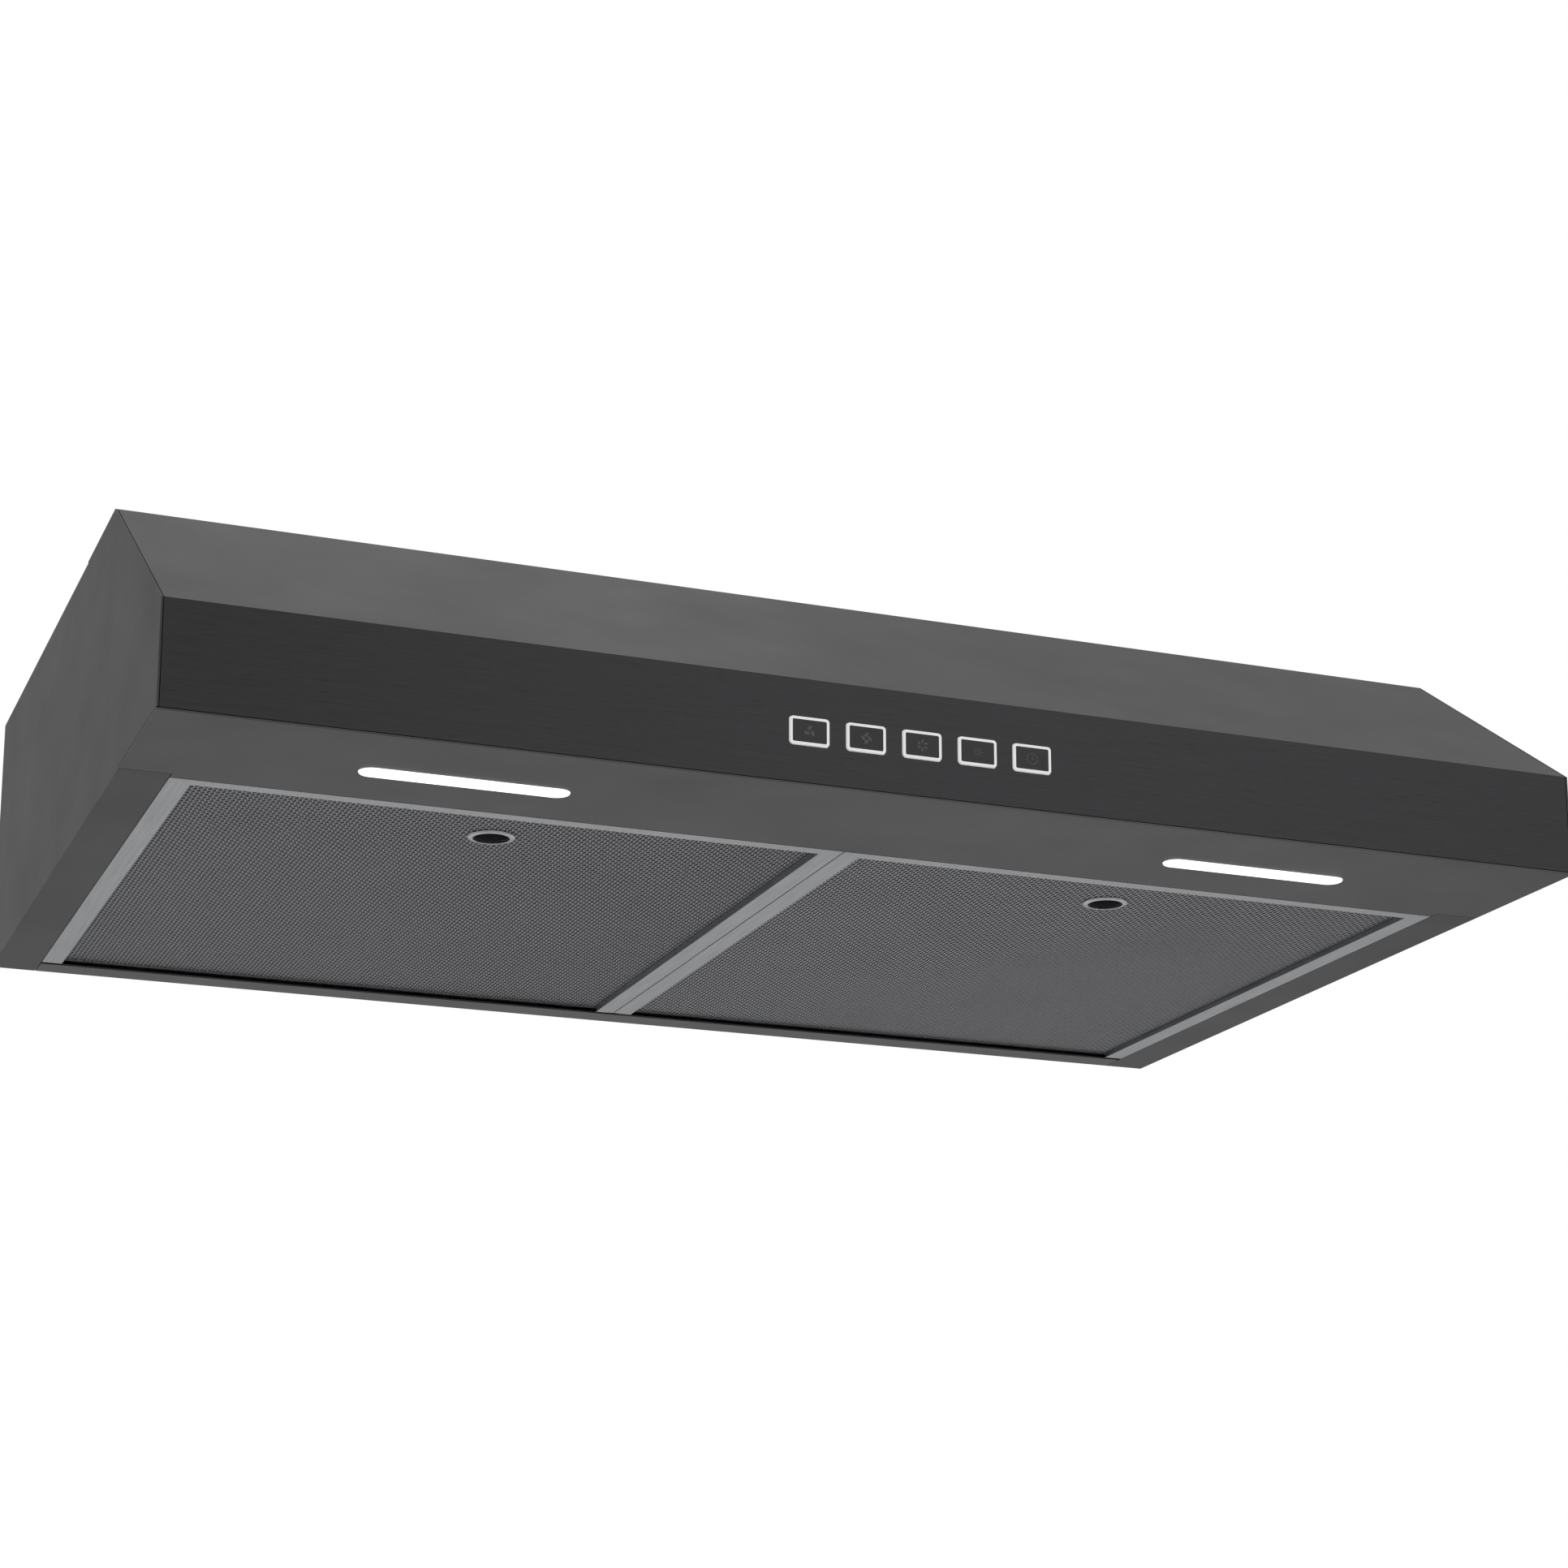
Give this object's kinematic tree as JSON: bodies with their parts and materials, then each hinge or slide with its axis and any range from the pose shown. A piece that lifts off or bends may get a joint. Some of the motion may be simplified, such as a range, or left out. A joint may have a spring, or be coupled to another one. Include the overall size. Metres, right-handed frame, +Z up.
{
  "type": "under cabinet range hood",
  "caption": "Slim under cabinet range hood with a sloped front, brushed dark control fascia, push buttons, light bars, swing-down mesh filters, twin-wheel blower and duct collar.",
  "frame": {"origin": "centre of the four cabinet keyholes on the outer face of the top panel", "axes": "+X to the right seen from the front, +Y towards the wall, +Z up towards the cabinet"},
  "size_m": [0.759, 0.5063, 0.1948],
  "materials": {
    "dark_steel": "dark coated steel, fine satin",
    "black_fascia": "near-black coated steel, brushed along its length",
    "galvanised": "galvanised steel sheet",
    "spring_steel": "plated steel",
    "filter_aluminium": "mill-finish aluminium",
    "filter_mesh": "woven aluminium mesh",
    "bright_metal": "polished",
    "black_plastic": "moulded, matt",
    "lamp_lens": "lit opal diffuser",
    "white_plastic": "moulded, matt",
    "circuit_board": "solder-resist green",
    "button_face": "moulded, satin",
    "lit_rim": "lit translucent plastic",
    "wheel_steel": "galvanised, rolled",
    "motor_alloy": "die cast",
    "lamination_steel": "stacked laminations, varnished",
    "rubber": "moulded rubber",
    "wire_sleeve": "sleeved wires"
  },
  "bodies": {
    "hood": {"left_side_panel": "dark_steel", "right_side_panel": "dark_steel", "front_panel": "dark_steel", "light_panel": "dark_steel", "back_panel": "dark_steel", "control_fascia": "black_fascia", "top_panel": "galvanised", "rear_duct_cover": "galvanised", "left_scroll_housing": "galvanised", "right_scroll_housing": "galvanised", "left_intake_ring": "galvanised", "right_intake_ring": "galvanised", "motor_bracket": "galvanised", "wiring_box": "galvanised", "wiring_box_cover": "galvanised", "duct_collar": "galvanised", "filter_pivot_brackets": "galvanised", "filter_catches": "spring_steel", "sheet_screws": "spring_steel", "button_carrier": "black_plastic", "tact_switches": "black_plastic", "left_light_lens": "lamp_lens", "right_light_lens": "lamp_lens", "left_light_housing": "white_plastic", "right_light_housing": "white_plastic", "led_driver": "white_plastic", "terminal_block": "white_plastic", "left_led_board": "circuit_board", "right_led_board": "circuit_board", "control_board": "circuit_board", "motor_end_bells": "motor_alloy", "capacitor": "motor_alloy", "motor_stator": "lamination_steel", "motor_rubber_rings": "rubber", "wire_harness": "wire_sleeve"},
    "left_filter": {"left_filter_frame": "filter_aluminium", "left_filter_mesh": "filter_mesh", "left_finger_ring": "bright_metal", "left_finger_cup": "black_plastic", "left_filter_pins": "spring_steel"},
    "right_filter": {"right_filter_frame": "filter_aluminium", "right_filter_mesh": "filter_mesh", "right_finger_ring": "bright_metal", "right_finger_cup": "black_plastic", "right_filter_pins": "spring_steel"},
    "fan_low_key": {"fan_low_button": "button_face", "fan_low_rim": "lit_rim"},
    "fan_medium_key": {"fan_medium_button": "button_face", "fan_medium_rim": "lit_rim"},
    "fan_high_key": {"fan_high_button": "button_face", "fan_high_rim": "lit_rim"},
    "light_key": {"light_button": "button_face", "light_rim": "lit_rim"},
    "timer_key": {"timer_button": "button_face", "timer_rim": "lit_rim"},
    "blower": {"left_blower_wheel": "wheel_steel", "right_blower_wheel": "wheel_steel", "motor_shaft": "spring_steel"},
    "damper": {"damper_flap": "galvanised", "damper_pin": "spring_steel"}
  },
  "joints": [
    {"name": "left_filter_swing", "type": "hinge", "parent": "hood", "child": "left_filter", "pos_m": [-0.1768, 0.1431, -0.1466], "axis": [1, 0, 0], "range_deg": [0, 75]},
    {"name": "right_filter_swing", "type": "hinge", "parent": "hood", "child": "right_filter", "pos_m": [0.1768, 0.1431, -0.1466], "axis": [1, 0, 0], "range_deg": [0, 75]},
    {"name": "fan_low_press", "type": "slide", "parent": "hood", "child": "fan_low_key", "axis": [0, 1, 0], "range_m": [0, 0.0012], "stiffness_N_per_m": 1500},
    {"name": "fan_medium_press", "type": "slide", "parent": "hood", "child": "fan_medium_key", "axis": [0, 1, 0], "range_m": [0, 0.0012], "stiffness_N_per_m": 1500},
    {"name": "fan_high_press", "type": "slide", "parent": "hood", "child": "fan_high_key", "axis": [0, 1, 0], "range_m": [0, 0.0012], "stiffness_N_per_m": 1500},
    {"name": "light_press", "type": "slide", "parent": "hood", "child": "light_key", "axis": [0, 1, 0], "range_m": [0, 0.0012], "stiffness_N_per_m": 1500},
    {"name": "timer_press", "type": "slide", "parent": "hood", "child": "timer_key", "axis": [0, 1, 0], "range_m": [0, 0.0012], "stiffness_N_per_m": 1500},
    {"name": "blower_spin", "type": "hinge", "parent": "hood", "child": "blower", "pos_m": [0, 0.0538, -0.0598], "axis": [1, 0, 0], "continuous": true},
    {"name": "damper_swing", "type": "hinge", "parent": "hood", "child": "damper", "pos_m": [0, 0.0588, 0.012], "axis": [1, 0, 0], "range_deg": [0, 70]}
  ]
}
